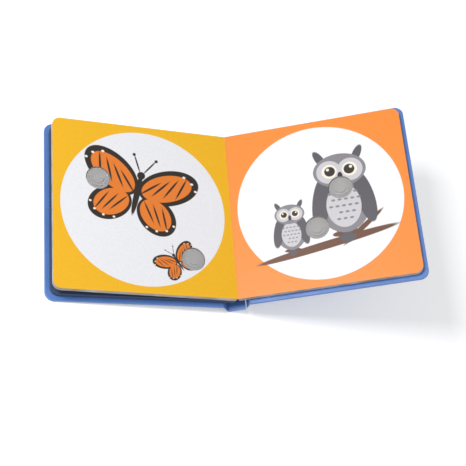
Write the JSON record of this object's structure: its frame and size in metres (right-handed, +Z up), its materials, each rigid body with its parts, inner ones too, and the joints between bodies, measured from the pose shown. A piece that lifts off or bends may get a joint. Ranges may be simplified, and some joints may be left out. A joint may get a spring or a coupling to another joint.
{
  "type": "board book",
  "caption": "Square hard-cover board book of thick leaves with clear popping buttons, open at a spread with its back half raised.",
  "frame": {"origin": "on the table, under the middle of the open book's outer box", "axes": "+X to the reader's right, +Y towards the head of the pages, +Z up"},
  "size_m": [0.3408, 0.1866, 0.1198],
  "materials": {
    "board": "matt grey-brown greyboard",
    "blue_wrap": "blue laminated paper, glossy",
    "left_leaves": "printed board, satin varnish, yellow page",
    "right_leaf": "printed board, satin varnish, orange page",
    "clear_plastic": "clear formed plastic"
  },
  "bodies": {
    "front_half": {"left_pages": "left_leaves", "front_cover_board": "board", "front_cover_wrap": "blue_wrap"},
    "back_half": {"right_page": "right_leaf", "back_cover_board": "board", "back_cover_wrap": "blue_wrap"},
    "front_joint": {"front_hinge_strip": "blue_wrap"},
    "spine": {"spine_board": "board", "spine_wrap": "blue_wrap"},
    "back_joint": {"back_hinge_strip": "blue_wrap"},
    "left_upper_popper": {"left_upper_button": "clear_plastic"},
    "left_lower_popper": {"left_lower_button": "clear_plastic"},
    "right_upper_popper": {"right_upper_button": "clear_plastic"},
    "right_lower_popper": {"right_lower_button": "clear_plastic"}
  },
  "joints": [
    {"name": "back_cover_hinge", "type": "hinge", "parent": "front_half", "child": "back_half", "pos_m": [0.01139, 0, 0.02412], "axis": [0, -1, 0], "range_deg": [-32.6, 147.4]},
    {"name": "front_strip_fold", "type": "hinge", "parent": "front_half", "child": "front_joint", "pos_m": [0.00229, 0, 0.00969], "axis": [0, -1, 0], "range_deg": [-15, 66]},
    {"name": "spine_fold", "type": "hinge", "parent": "front_joint", "child": "spine", "pos_m": [0.00978, 0, 0.00096], "axis": [0, -1, 0], "range_deg": [-7, 2]},
    {"name": "back_strip_fold", "type": "hinge", "parent": "back_half", "child": "back_joint", "pos_m": [0.02398, 0, 0.02207], "axis": [0, -1, 0], "range_deg": [-57, 14]},
    {"name": "left_upper_press", "type": "slide", "parent": "front_half", "child": "left_upper_popper", "axis": [0, 0, 1], "range_m": [-0.0015, 0], "stiffness_N_per_m": 500},
    {"name": "left_lower_press", "type": "slide", "parent": "front_half", "child": "left_lower_popper", "axis": [0, 0, 1], "range_m": [-0.0015, 0], "stiffness_N_per_m": 500},
    {"name": "right_upper_press", "type": "slide", "parent": "back_half", "child": "right_upper_popper", "axis": [-0.5388, 0, 0.8425], "range_m": [-0.0015, 0], "stiffness_N_per_m": 500},
    {"name": "right_lower_press", "type": "slide", "parent": "back_half", "child": "right_lower_popper", "axis": [-0.5388, 0, 0.8425], "range_m": [-0.0015, 0], "stiffness_N_per_m": 500}
  ],
  "couplings": [
    {"joint": "front_strip_fold", "follows": "back_cover_hinge", "ratio": 0.44},
    {"joint": "spine_fold", "follows": "back_cover_hinge", "ratio": -0.04},
    {"joint": "back_strip_fold", "follows": "back_cover_hinge", "ratio": -0.35}
  ]
}
